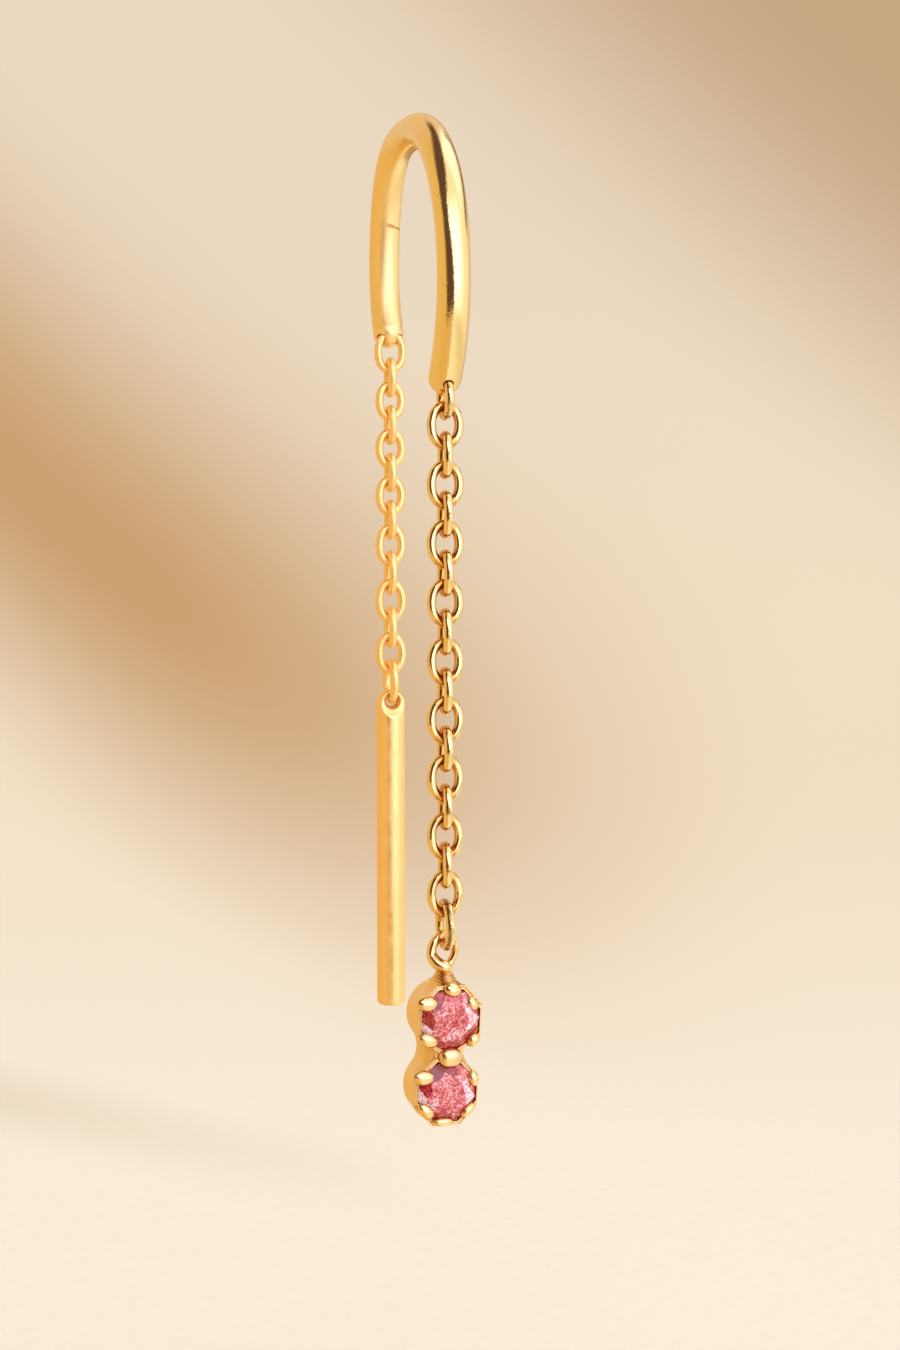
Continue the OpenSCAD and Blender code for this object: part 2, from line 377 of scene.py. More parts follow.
def gold_with_painted_shade(name, colour, rough, grain, axis_y, strand, zc=None):
    """Gold of a chain or ring: painted brown shade on the sides of the wire that face inwards and in the crevices,
    with a grainy streak of painted dark reflection on the side that faces out to the front and the left."""
    material = bpy.data.materials.new(name)
    tree, s, _ = nodes_of(material)
    at = in_mm(tree)
    s.inputs["Metallic"].default_value = 1.0
    s.inputs["IOR"].default_value = 1.5
    split = tree.nodes.new("ShaderNodeSeparateXYZ")
    tree.links.new(at, split.inputs[0])
    x, y, z = split.outputs
    dy = calc(tree, "SUBTRACT", y, axis_y)
    away = calc(tree, "ADD", calc(tree, "MULTIPLY", x, x), calc(tree, "MULTIPLY", dy, dy))
    if zc is not None:
        dz = calc(tree, "SUBTRACT", z, zc)
        away = calc(tree, "MULTIPLY_ADD", dz, dz, away)
    away = calc(tree, "SQRT", away)
    across = calc(tree, "SUBTRACT", away, strand)          # -0.145 inside the link, +0.145 outside
    edge_noise = noise(tree, at, 15.0, 3.0, 0.7)
    # inner: painted shade on the sides of the wire that face into the link
    inner = spread(tree, calc(tree, "MULTIPLY_ADD", edge_noise, 0.08, across), -0.085, -0.02, 1.0, 0.0)
    # outer: a painted dark reflection streaking the outward side, leaning to the front and the left
    lean = calc(tree, "MAXIMUM", calc(tree, "MINIMUM", x, 0.1), -0.1)
    outer = calc(tree, "MULTIPLY_ADD", lean, -0.25, across)
    outer = spread(tree, calc(tree, "MULTIPLY_ADD", edge_noise, 0.09, outer), 0.184, 0.199, 0.0, 1.0)
    outer = calc(tree, "MULTIPLY", outer, spread(tree, calc(tree, "ABSOLUTE", x), 0.15, 0.32, 1.0, 0.15))
    tone = noise(tree, at, 1.1, 3.0)
    r, g, b = colour
    base = ramp(tree, tone, [(0.30, (r, g, b)), (0.70, (r * 0.96, g * 0.93, b * 0.86))])

    def blend(fac, a, colour2, most):
        m = tree.nodes.new("ShaderNodeMix")
        m.data_type = "RGBA"
        m.clamp_factor = True
        tree.links.new(calc(tree, "MULTIPLY", fac, most), m.inputs[0])
        tree.links.new(a, m.inputs[6])
        m.inputs[7].default_value = (*colour2, 1)
        return m.outputs[2]

    # painted shade on the inward sides
    base = blend(inner, base, (0.68, 0.36, 0.085), 0.85)
    # painted shade in the crevices between links
    base = crevice(tree, base, 0.25, (0.48, 0.18, 0.022), 0.9)
    # painted dark reflection streak on the outward sides
    base = blend(outer, base, (0.24, 0.10, 0.03), 0.85)
    tree.links.new(base, s.inputs["Base Color"])
    smear = noise(tree, at, 2.6, 5.0, 0.65)
    gloss = spread(tree, smear, 0.3, 0.75, rough * 0.75, rough * 1.5)
    tree.links.new(calc(tree, "MULTIPLY_ADD", outer, 0.12, gloss), s.inputs["Roughness"])
    fine = noise(tree, at, 18.0, 2.0, 0.6)
    bump = tree.nodes.new("ShaderNodeBump")
    bump.inputs["Strength"].default_value = 1.0
    bump.inputs["Distance"].default_value = grain * MM
    tree.links.new(fine, bump.inputs["Height"])
    tree.links.new(bump.outputs["Normal"], s.inputs["Normal"])
    return material


def gem(name, tones):
    """Pink stone: each facet has its own painted lightness, standing for the reflections and shade inside the cut, with
    fine pale marks wandering through it.
    """
    material = bpy.data.materials.new(name)
    tree, s, _ = nodes_of(material)
    at = in_mm(tree)
    s.inputs["Transmission Weight"].default_value = 0.15
    s.inputs["IOR"].default_value = 1.74
    s.inputs["Roughness"].default_value = 0.02
    # a faint red glow, painted light that lifts the stone's darkest parts
    s.inputs["Emission Color"].default_value = (1.0, 0.10, 0.10, 1)
    s.inputs["Emission Strength"].default_value = 0.03
    facet = tree.nodes.new("ShaderNodeAttribute")
    facet.attribute_type = "GEOMETRY"
    facet.attribute_name = "depth"
    wander = tree.nodes.new("ShaderNodeTexNoise")
    wander.inputs["Scale"].default_value = 5.0
    wander.inputs["Detail"].default_value = 5.0
    wander.inputs["Roughness"].default_value = 0.66
    wander.inputs["Distortion"].default_value = 2.2
    tree.links.new(at, wander.inputs["Vector"])
    marks = spread(tree, wander.outputs["Fac"], 0.36, 0.64, -0.40, 0.40)
    broad = spread(tree, noise(tree, at, 1.5, 2.0), 0.3, 0.7, -0.13, 0.13)
    value = calc(tree, "ADD", calc(tree, "ADD", marks, broad), facet.outputs["Fac"])
    tree.links.new(ramp(tree, value, tones), s.inputs["Base Color"])
    fine = noise(tree, at, 8.0, 4.0, 0.65)
    bump = tree.nodes.new("ShaderNodeBump")
    bump.inputs["Strength"].default_value = 0.6
    bump.inputs["Distance"].default_value = 0.005 * MM
    tree.links.new(fine, bump.inputs["Height"])
    tree.links.new(bump.outputs["Normal"], s.inputs["Normal"])
    return material


GOLD = (0.95, 0.75, 0.36)
CHAIN_GOLD = (0.96, 0.75, 0.375)
# gold_bent_bar: satin behind with its painted dark line, and painted crevice shade; gold_setting: painted crevice shade
# and a broader painted shade, its gloss softer below the bail
gold_bent = gold("gold_bent_bar", GOLD, 0.085, 0.0065, 15.0, 0.0, 0.30, 0.5)
gold_rear = gold("gold_rear", (1.0, 0.735, 0.335), 0.39, 0.0006, 17.0)
gold_cast = gold("gold_setting", (0.97, 0.715, 0.365), 0.13, 0.0030, 17.0, 1.0, 0.0, 0.95, -28.3)
# the stone's tones, from its deepest painted shade to a near-white painted highlight
pink = gem("pink_stone", [(0.0, (0.17, 0.002, 0.004)), (0.2, (0.36, 0.009, 0.014)), (0.4, (0.58, 0.048, 0.052)),
                          (0.6, (0.75, 0.158, 0.155)), (0.76, (0.87, 0.34, 0.335)), (0.9, (0.93, 0.57, 0.60)),
                          (1.0, (1.0, 0.93, 1.0))])

# ------------------------------------------------------------------ ear bar

WIRE = 0.30
FRONT_Y, REAR_Y = -4.15, 3.42
gold_chain = gold_with_painted_shade("gold_chain", CHAIN_GOLD, 0.11, 0.0018, FRONT_Y, 0.455)
gold_top_ring = gold_with_painted_shade("gold_top_ring", CHAIN_GOLD, 0.11, 0.0018, FRONT_Y, 0.58, -9.0)
gold_low_ring = gold_with_painted_shade("gold_low_ring", CHAIN_GOLD, 0.11, 0.0018, FRONT_Y, 0.69, -26.09)


def arch(bends, side):
    """Arcs from the top down one leg: (centre, radius, first angle, last angle), side -1 in front and 1 behind."""
    out, p, a = [], np.array([0.0, 0.0]), 90.0
    for r, sweep in bends:
        out_dir = np.array([side * math.cos(math.radians(a)), math.sin(math.radians(a))])
        c = p - r * out_dir
        b = a - sweep
        p = c + r * np.array([side * math.cos(math.radians(b)), math.sin(math.radians(b))])
        out.append((c, r, 180 - a, 180 - b) if side < 0 else (c, r, b, a))
        a = b
    return out, p


# a round front, a flatter top towards the rear with a tighter shoulder, and the ends turned in
FRONT_BENDS, front_end = arch([(5.55, 5.1), (5.15, 74.2), (5.75, 10.7), (4.95, 38.6)], -1)
REAR_BENDS, rear_end = arch([(13.1, 7.3), (2.76, 61.7), (6.45, 21.0), (4.8, 29.4)], 1)


def ear_bar_field(x, y, z):
    d = None
    for c, r, a0, a1 in FRONT_BENDS + REAR_BENDS:
        e = arc_distance(x, y, z, c, r, a0, a1)
        d = e if d is None else np.minimum(d, e)
    # the wire is a little fuller over the front shoulder
    d = d - 0.533 - 0.022 * ease(-5.0, -2.0, z) * (1 - ease(1.0, 3.0, y))
    # curved hole from front to back with wide mouths, for the front ring
    rho = np.sqrt((y - FRONT_Y) ** 2 + (z + 9.0) ** 2)
    wide = 0.151 + 0.012 * ease(0.25, 0.5, np.abs(y - FRONT_Y))
    hole = np.sqrt(x * x + (rho - 0.58) ** 2) - wide
    d = smax(d, -hole, 0.035)
    # curved hole from side to side, for the rear ring
    rho = np.sqrt(x * x + (z + 7.03) ** 2)
    wide = 0.146 + 0.015 * ease(0.2, 0.45, np.abs(x))
    hole = np.sqrt((y - REAR_Y) ** 2 + (rho - 0.425) ** 2) - wide
    return smax(d, -hole, 0.035)


v, f, n = nets(ear_bar_field, (-0.62, -5.85, -8.9), (0.62, 4.95, 0.62), 0.042)
ear_bar = make_mesh("ear_bar_polished", v, f, gold_bent, normals=n)
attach(ear_bar, "hanger")
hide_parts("ear_bar")


# ---------------------------------------------------------- rings and chains

def ring_mesh(diameter, wire, centre, yaw, tilt=0.0, seam_and_painted_line=100.0):
    v, f = link_mesh(diameter, diameter, wire, centre, yaw, tilt, sides=28, power=2.0, seam_and_painted_line=seam_and_painted_line)
    return v, f


def piece(name, parts, material, body, node):
    v, f = join(parts)
    obj = make_mesh(name, v, f, material)
    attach(obj, body)
    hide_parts(node)
    return obj


EDGE = 90.0   # a link in the YZ plane
piece("front_jump_ring", [ring_mesh(1.45, 0.29, (0, FRONT_Y, -9.0), EDGE, 0, 60)], gold_top_ring, "hanger", "front_ring")
piece("pendant_jump_ring", [ring_mesh(1.69, 0.31, (0, FRONT_Y, -26.09), EDGE, 0, 120)], gold_low_ring, "hanger", "pendant_ring")
piece("bar_jump_ring", [ring_mesh(1.60, 0.28, (0, REAR_Y, -18.89), EDGE, 0, 70)], gold_rear, "hanger", "bar_ring")

rng = np.random.default_rng(7)
parts = []
first, last, count = -9.88, -25.079, 17
pitch = (first - last) / (count - 1)
for i in range(count):
    open_link = i % 2 == 0
    yaw = (0.0 if open_link else EDGE) + float(rng.normal(0, 2.2))
    parts.append(link_mesh(pitch + 2 * WIRE + 0.004, 1.21 + float(rng.normal(0, 0.008)), WIRE,
                           (0, FRONT_Y, first - i * pitch), yaw, float(rng.normal(0, 0.5)),
                           seam_and_painted_line=float(rng.choice([0, 180]) + rng.normal(0, 8))))
piece("front_links", parts, gold_chain, "hanger", "front_chain")

RWIRE = 0.29
v, f = link_mesh(1.5, 1.14, 0.27, (0, REAR_Y, -7.22), 0, 0, seam_and_painted_line=200, power=2.3)
obj = make_mesh("rear_end_link", v, f, gold_rear)
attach(obj, "hanger")
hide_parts("rear_ring")

opens = [-8.907, -10.599, -12.277, -13.997, -16.062, -17.917]
centres = []
above = -7.22
for c in opens:
    centres += [(above + c) / 2, c]
    above = c
steps = -np.diff([-7.22] + centres + [-18.89])
half = [(steps[i] + steps[i + 1]) / 4 + RWIRE / 2 + 0.004 for i in range(len(centres))]
top_wire = -7.22 - (1.5 - 0.27) / 2 + RWIRE + 0.003      # where the first link's top wire rests
foot_wire = -18.89 + 0.66 - RWIRE - 0.004                 # where the last link's lower wire rests
total = 2 * sum(half) - (len(half) - 1) * (RWIRE + 0.003)
grow = ((top_wire - foot_wire) - total) / (2 * len(half))
parts, z = [], top_wire
for i, h in enumerate(half):
    h += grow
    c = z - h
    yaw = (EDGE if i % 2 == 0 else 0.0) + float(rng.normal(0, 2.5))
    parts.append(link_mesh(2 * h + RWIRE, 1.09 if i < 8 else 1.12, RWIRE, (0, REAR_Y, c), yaw,
                           float(rng.normal(0, 0.6)), seam_and_painted_line=float(rng.choice([0, 180]))))
    z = c - h + RWIRE + 0.003
piece("rear_links", parts, gold_rear, "hanger", "rear_chain")

# ------------------------------------------------------------- threader bar

BAR_TOP = -19.19


def threader_field(x, y, z):
    yy = y - REAR_Y
    r = np.sqrt(x * x + yy * yy)
    low = BAR_TOP - 11.4
    # straight shaft with a domed top and a rounded foot
    zc = np.clip(z, low + 0.15, BAR_TOP - 0.51)
    over = z - zc
    top = np.sqrt(r * r + np.maximum(z - (BAR_TOP - 0.51), 0) ** 2) - 0.51
    e = 0.15
    q = np.maximum(r - (0.51 - e), 0)
    foot = np.sqrt(q * q + np.minimum(z - (low + e), 0) ** 2) - e
    foot = np.maximum(foot, r - 0.51)
    d = np.where(z > BAR_TOP - 0.6, top, np.where(z < low + 0.3, foot, r - 0.51)) + 0 * over
    zh = BAR_TOP - 0.4
    hole = np.sqrt(x * x + (z - zh) ** 2) - (0.2 + 0.08 * ease(0.02, 0.26, np.abs(yy)))
    d = smax(d, -hole, 0.05)
    for s in (-1, 1):
        scoop = np.sqrt((yy - s * 1.06) ** 2 + (z - zh - 0.05) ** 2) - 0.8
        d = smax(d, -scoop, 0.06)
    return d


v, f, n = nets(threader_field, (-0.55, REAR_Y - 0.55, BAR_TOP - 11.45), (0.55, REAR_Y + 0.55, BAR_TOP + 0.05), 0.036)
obj = make_mesh("straight_bar", v, f, gold_rear, normals=n)
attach(obj, "bar")
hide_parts("threader_bar")

# ------------------------------------------------------------------ pendant

PIVOT_Z = -26.08 - 0.82 + 0.145
HUNG_R = turn("Z", 3.0) @ turn("Y", 2.8)
HUNG_T = np.array([0, FRONT_Y, PIVOT_Z])
HUNG_UP = np.array([0, 0, 0.145 + 0.02 + 0.31])


def hang(v):
    return (np.asarray(v) + HUNG_UP) @ HUNG_R.T + HUNG_T


UP_Z, LOW_Z, MID_Z = -2.75, -5.14, -3.945
NX = 0.05                    # the lobes' middle
FACE = -0.67                 # the girdles' plane
# claws: middle of the pad from the stone's middle, half length, half width, tilt, how far down the wall it starts
UP_CLAWS = [
    ((0.015, 0.955), 0.31, 0.230, -14, 0.45),
    ((-0.80, 0.52), 0.385, 0.245, -6, 0.36),
    ((-0.735, -0.66), 0.36, 0.240, -18, 0.36),
    ((0.70, 0.50), 0.255, 0.185, -50, 0.36),
    ((0.80, -0.69), 0.235, 0.215, 60, 0.36),
]
LOW_CLAWS = [
    ((-0.81, 0.50), 0.40, 0.250, -6, 0.36),
    ((0.86, 0.42), 0.265, 0.190, -70, 0.36),
    ((-0.69, -0.58), 0.335, 0.215, -36, 0.36),
    ((0.715, -0.60), 0.30, 0.185, 40, 0.36),
    ((-0.12, -0.945), 0.355, 0.160, 3, 0.40),
]


def on_face(zc, angle, radius, height):
    a = math.radians(angle)
    return (NX + radius * math.cos(a), FACE - height, zc + radius * math.sin(a))


def bail_path():
    """The bail's wire: out of the neck, up on the right, over, down on the left and across in front to a thin end."""
    pts, rad = [], []
    for i in range(91):
        t = i / 90
        a = -82 + t * 366           # degrees round the oval, against the clock seen from the front
        c, s = math.cos(math.radians(a)), math.sin(math.radians(a))
        x = -0.022 + 0.445 * c
        tall = 0.52 if s > 0 else 0.55 + 0.09 * (1 - ease(-75, -35, a))
        z = -0.675 + tall * s
        y = 0.14 + 0.06 * ease(-82, -40, a) - 0.24 * ease(20, 150, a) - 0.30 * ease(180, 265, a)
        r = 0.132 + 0.022 * ease(60, 150, a) + 0.052 * ease(150, 240, a)
        z += 0.10 * ease(170, 255, a)
        x -= 0.01 * ease(150, 200, a)
        if a > 254:
            k = (a - 254) / 30
            r = r * (1 - k ** 2.2) + 0.04 * k
            z -= 0.05 * k
        pts.append((x, y, z))
        rad.append(float(r))
    return pts, rad


BAIL = bail_path()


def lobes_field(x, z):
    h, r, w = 2.39 / 2, 1.09, 0.69
    fil = (w * w + h * h - r * r) / (2 * (r - w))
    c = w + fil
    px, pz = np.abs(x - NX), np.abs(z - MID_Z)
    ball = np.sqrt(px ** 2 + (pz - h) ** 2) - r
    hollow = fil - np.sqrt((px - c) ** 2 + pz ** 2)
    return np.where(px / c + pz / h < 1, hollow, ball)


def polygon_field(x, z, zc, sides):
    d = None
    for angle, far in sides:
        a = math.radians(angle)
        e = (x - NX) * math.cos(a) + (z - zc) * math.sin(a) - far
        d = e if d is None else np.maximum(d, e)
    return d


UP_SIDES = [(180, 0.965), (137, 0.965), (90, 0.97), (43, 0.955), (0, 1.005), (305, 0.965), (270, 1.0), (238, 0.975)]
LOW_SIDES = [(180, 0.965), (135, 0.965), (90, 1.0), (45, 0.965), (0, 1.005), (318, 0.955), (270, 0.97), (228, 0.965)]


def setting_field(x, y, z):
    front = -0.64
    # wall
    flat = lobes_field(x, z)
    e = 0.07
    q1 = np.maximum(flat + e, 0)
    q2 = np.maximum(np.abs(y + 0.0) - 0.64 + e, 0)
    d = np.minimum(np.maximum(flat + e, np.abs(y) - 0.64 + e), 0) + np.sqrt(q1 * q1 + q2 * q2) - e
    # the waist falls back between the two rims
    for s in (-1, 1):
        cut = np.sqrt((x - NX - s * 1.02) ** 2 * 1.1 + (y + 0.95) ** 2 * 0.55 + (z - MID_Z) ** 2 * 1.5) - 0.62
        d = smax(d, -cut, 0.10)
    # straight-sided rims round the stones
    for zc, sides in ((UP_Z, UP_SIDES), (LOW_Z, LOW_SIDES)):
        outer = polygon_field(x, z, zc, [(a, 1.045 if a == 0 else 1.105) for a, _ in sides])
        inner = polygon_field(x, z, zc, sides)
        band = smax(outer, -(inner + 0.01), 0.015)
        rim = smax(band, np.abs(y + 0.665) - 0.085, 0.025)
        groove = np.sqrt((inner - 0.068) ** 2 + (y + 0.756) ** 2) - 0.034
        rim = smax(rim, -groove, 0.012)
        d = smin(d, rim, 0.022)
    # neck, with small ridges of solder
    up = (z + 1.83) / 0.55
    rr = 0.55 + (0.235 - 0.55) * np.clip(up, 0, 1) ** 0.75
    nr = np.sqrt((x - 0.0) ** 2 + (y * 0.95) ** 2)
    ridge = 0.020 * np.sin((z + 0.35 * x) * 2 * PI / 0.098) * ease(-1.84, -1.74, z) * (1 - ease(-1.40, -1.32, z))
    neck = smax(nr - rr - ridge, np.abs(z + 1.56) - 0.30, 0.06) * 0.85
    d = smin(d, neck, 0.22)
    # the shared broad prong
    mz = MID_Z - 0.06
    mid = segment(x, y, z, on_face(mz, 0, 0.0, -0.45), on_face(mz, 0, 0.0, 0.0), 0.25, 0.27)
    q1 = np.abs(x - NX) * 0.80 + np.abs(z - mz) * 0.42
    u, w, dy = np.abs(x - NX - 0.05) / 0.385, np.abs(z - mz + 0.05 * np.abs(x - NX - 0.05)) / 0.335, np.abs(y - (FACE - 0.02)) / 0.27
    cap = ((u ** 2.5 + w ** 2.5 + dy ** 2.3 + 1e-9) ** (1 / 2.4) - 1) * 0.29
    d = smin(d, smin(mid, cap, 0.05), 0.03)
    # stones' seats
    for zc in (UP_Z, LOW_Z):
        rho = np.sqrt((x - NX) ** 2 + (z - zc) ** 2)
        up = FACE - y                                  # height over the girdle
        seat = np.maximum(rho - 1.015, np.maximum(up - 0.9, -up - 0.03))
        seat = np.where(up > 0.03, rho - 1.015 + (up - 0.03) * 1.25, seat)
        cone = (rho * 0.63 - (up + 0.86) * 0.775)      # under the girdle
        cone = np.maximum(cone, up + 0.02)
        back = np.maximum(rho - 0.5 - 0.12 * ease(0.5, 0.64, y), -y - 0.4)
        under = np.minimum(cone, back)
        rimfree = np.minimum(under, np.maximum(seat, rho - 1.6))
        keep = np.maximum(seat, polygon_field(x, z, zc, UP_SIDES if zc == UP_Z else LOW_SIDES))
        d = smax(d, -np.minimum(under, keep), 0.02)
    # claws: up the wall, over the rim and down onto the stone
    for zc, claws in ((UP_Z, UP_CLAWS), (LOW_Z, LOW_CLAWS)):
        for (cx, cz), half_long, half_wide, tilt, low in claws:
            grow = 1.03 / math.hypot(cx, cz)
            root = (NX + cx * grow, FACE + low, zc + cz * grow)
            over = (NX + cx * (0.4 + 0.6 * grow), FACE + 0.02, zc + cz * (0.4 + 0.6 * grow))
            c, t = math.cos(math.radians(tilt)), math.sin(math.radians(tilt))
            dx, dy, dz = x - (NX + cx), y - (FACE - 0.08), z - (zc + cz)
            u, w = dx * c + dz * t, dz * c - dx * t
            k0 = np.sqrt((u / half_long) ** 2 + (w / half_wide) ** 2 + (dy / 0.20) ** 2)
            k1 = np.sqrt((u / half_long ** 2) ** 2 + (w / half_wide ** 2) ** 2 + (dy / 0.04) ** 2)
            pad = k0 * (k0 - 1) / np.maximum(k1, 1e-6)
            pad = np.where(k0 < 0.3, -0.1, pad)
            q = smin(segment(x, y, z, root, over, 0.13, 0.15), pad, 0.07)
            d = smin(d, q, 0.03)
    # room for the stones under the prongs
    for zc in (UP_Z, LOW_Z):
        rho = np.sqrt((x - NX) ** 2 + (z - zc) ** 2)
        up = FACE - y
        stone = np.maximum(rho - 1.01, np.maximum(rho * 0.54 + up * 0.842 - 0.565 - 0.006, (rho * 0.634 - (up + 0.865) * 0.773)))
        d = np.maximum(d, -stone)
    # bail
    b = None
    pts, rad = BAIL
    if np.ndim(z) == 3:
        pass
    for i in range(len(pts) - 1):
        s = segment(x, y, z, pts[i], pts[i + 1], rad[i], rad[i + 1])
        b = s if b is None else np.minimum(b, s)
    return smin(d, b, 0.035)


v, f, n = nets(setting_field, (-1.2, -1.08, -6.45), (1.3, 0.72, 0.05), 0.031)
normals = n @ HUNG_R.T
obj = make_mesh("pendant_setting_polished", hang(v), f, gold_cast, normals=normals)
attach(obj, "pendant")
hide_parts("pendant_setting")


# ------------------------------------------------------------------- stones

def brilliant(rim=0.995, table=0.575, crown=0.295, girdle=0.028, depth=0.80, turned=0.0):
    """A round faceted stone's corner points, its table up."""
    pts = []

    def ring(count, radius, z, start=0.0):
        for k in range(count):
            a = math.radians(start + turned + 360 * k / count)
            pts.append((radius * math.cos(a), radius * math.sin(a), z))

    slope = (crown - girdle) / (rim - table)
    ring(8, table, crown)
    star = 0.72
    zs = crown - (star * math.cos(PI / 8) - table) * slope
    ring(8, star, zs, 22.5)
    ring(16, rim, girdle)
    ring(16, rim, -girdle)
    low = 0.30
    k = (depth - girdle) / rim
    zl = -depth + low * math.cos(PI / 8) * k
    ring(8, low, zl, 22.5)
    ring(8, 0.035, -depth + 0.02)
    return np.array(pts)


tints = np.random.default_rng(11)


# painted lightness of the crown facets round the stone, standing for its reflections and shade, next to the girdle and
# between girdle and table: (up to this angle, value)
OUTER = [(14, 0.52), (38, 0.45), (80, 0.62), (138, 0.22), (166, 0.30), (186, 0.10), (212, 1.0), (250, 0.16), (292, 0.30), (332, 0.42), (346, 0.46), (360, 0.52)]
INNER = [(24, 0.95), (66, 0.74), (106, 0.42), (160, 0.12), (212, 0.20), (258, 0.60), (302, 0.34), (332, 0.40), (360, 0.92)]


def stone(name, zc, turned, shift, node):
    import bmesh
    pts = brilliant(turned=turned)
    moved = np.stack([NX + pts[:, 0], FACE - pts[:, 2], zc + pts[:, 1]], -1)
    bm = bmesh.new()
    for p in hang(moved):
        bm.verts.new(Vector(p) * MM * 1000)
    bmesh.ops.convex_hull(bm, input=bm.verts)
    bmesh.ops.dissolve_limit(bm, angle_limit=math.radians(1.2), verts=bm.verts, edges=bm.edges)
    bmesh.ops.recalc_face_normals(bm, faces=bm.faces)
    centre = Vector(hang(np.array([[NX, FACE, zc]]))[0])
    # each facet's painted lightness: the table mid bright, the crown facets from the tables, the pavilion in dark
    # painted shade
    depth = bm.faces.layers.float.new("depth")
    for k, f in enumerate(bm.faces):
        c = f.calc_center_median() - centre
        rho, angle = math.hypot(c.x, c.z), (math.degrees(math.atan2(c.z, c.x)) + shift) % 360
        up = -c.y
        if up > 0.25:
            value = 0.58                                       # table
        elif up > 0.03:
            value = next(v for top, v in (OUTER if rho > 0.80 else INNER) if angle <= top)
            value += 0.16 * (float(tints.random()) - 0.5)
        else:
            value = 0.10
        f[depth] = value
    # slightly rounded facet edges
    bmesh.ops.bevel(bm, geom=bm.edges[:], offset=0.010, offset_type="OFFSET", segments=1, affect="EDGES", clamp_overlap=True)
    bmesh.ops.recalc_face_normals(bm, faces=bm.faces)
    data = bpy.data.meshes.new(name)
    bm.to_mesh(data)
    bm.free()
    data.transform(Matrix.Scale(MM, 4))
    data.materials.append(pink)
    o = bpy.data.objects.new(name, data)
    bpy.context.scene.collection.objects.link(o)
    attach(o, "pendant")
    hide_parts(node)
    return o


stone("upper_stone_cut", UP_Z, 3.0, 0.0, "upper_stone")
stone("lower_stone_cut", LOW_Z, -9.75, 12.75, "lower_stone")

# -------------------------------------------------------------------- floor

floor_z = -48.0
n = 96
verts = [(0, 0, floor_z)] + [(260 * math.cos(2 * PI * k / n), 260 * math.sin(2 * PI * k / n), floor_z) for k in range(n)]
faces = [(0, 1 + k, 1 + (k + 1) % n) for k in range(n)]
paper = bpy.data.materials.new("pale_paper")
tree, s, out = nodes_of(paper)
at = in_mm(tree)
tree.links.new(ramp(tree, noise(tree, at, 1.6, 5.0, 0.7), [(0.3, (0.86, 0.86, 0.70)), (0.7, (0.89, 0.89, 0.73))]), s.inputs["Base Color"])
s.inputs["Roughness"].default_value = 0.9
s.inputs["Specular IOR Level"].default_value = 0.1
s.inputs["Emission Color"].default_value = (0.95, 0.84, 0.66, 1)
s.inputs["Emission Strength"].default_value = 0.145
bump = tree.nodes.new("ShaderNodeBump")
bump.inputs["Strength"].default_value = 0.5
bump.inputs["Distance"].default_value = 0.05 * MM
tree.links.new(noise(tree, at, 2.5, 4.0), bump.inputs["Height"])
tree.links.new(bump.outputs["Normal"], s.inputs["Normal"])
length = tree.nodes.new("ShaderNodeVectorMath")
length.operation = "LENGTH"
flat = tree.nodes.new("ShaderNodeVectorMath")
flat.operation = "MULTIPLY"
flat.inputs[1].default_value = (1, 1, 0)
tree.links.new(at, flat.inputs[0])
tree.links.new(flat.outputs["Vector"], length.inputs[0])
fade = tree.nodes.new("ShaderNodeMapRange")
fade.interpolation_type = "SMOOTHSTEP"
fade.inputs["From Min"].default_value = 24
fade.inputs["From Max"].default_value = 62
fade.inputs["To Min"].default_value = 1
fade.inputs["To Max"].default_value = 0
tree.links.new(length.outputs["Value"], fade.inputs["Value"])
tree.links.new(fade.outputs["Result"], s.inputs["Alpha"])
floor = make_mesh("floor", verts, faces, paper, smooth=False)
floor.visible_glossy = False

# a sheet under the earring that only shows in the gold: pale on the right, in soft shade on the left
verts = [(0, 0, floor_z + 0.5)] + [(115 * math.cos(2 * PI * k / n), 115 * math.sin(2 * PI * k / n), floor_z + 0.5) for k in range(n)]
sheet_mat = bpy.data.materials.new("reflected_sheet")
sheet_mat.use_nodes = True
tree = sheet_mat.node_tree
tree.nodes.clear()
out = tree.nodes.new("ShaderNodeOutputMaterial")
glow = tree.nodes.new("ShaderNodeEmission")
at = in_mm(tree)
side = tree.nodes.new("ShaderNodeVectorMath")
side.operation = "DOT_PRODUCT"
side.inputs[1].default_value = (math.cos(math.radians(-15)), math.sin(math.radians(-15)), 0)
tree.links.new(at, side.inputs[0])
tone = ramp(tree, spread(tree, side.outputs["Value"], -14.0, 60.0, 0.0, 1.0),
            [(0.0, (0.84, 0.55, 0.22)), (0.19, (0.86, 0.57, 0.24)), (0.25, (1.10, 1.06, 0.95)), (0.6, (1.02, 0.95, 0.80)), (1.0, (0.90, 0.78, 0.55))])
tree.links.new(tone, glow.inputs["Color"])
tree.links.new(glow.outputs["Emission"], out.inputs["Surface"])
sheet = make_mesh("reflected_sheet", verts, faces, sheet_mat, smooth=False)
sheet.visible_camera = False
sheet.visible_diffuse = False
sheet.visible_shadow = False

# a soft card to the left of the rear half, that only shows in the gold there
card_mat = bpy.data.materials.new("side_card")
card_mat.use_nodes = True
tree = card_mat.node_tree
tree.nodes.clear()
out = tree.nodes.new("ShaderNodeOutputMaterial")
glow = tree.nodes.new("ShaderNodeEmission")
glow.inputs["Color"].default_value = (0.88, 0.60, 0.26, 1)
tree.links.new(glow.outputs["Emission"], out.inputs["Surface"])
card = make_mesh("side_card", [(-6.2, -4.6, -33), (-6.2, 4.5, -33), (-6.2, 4.5, 2.5), (-6.2, -4.6, 2.5)], [(0, 1, 2, 3)], card_mat, smooth=False)
card.visible_camera = False
card.visible_diffuse = False
card.visible_shadow = False
card.visible_transmission = False

# ------------------------------------------------------------ world and light

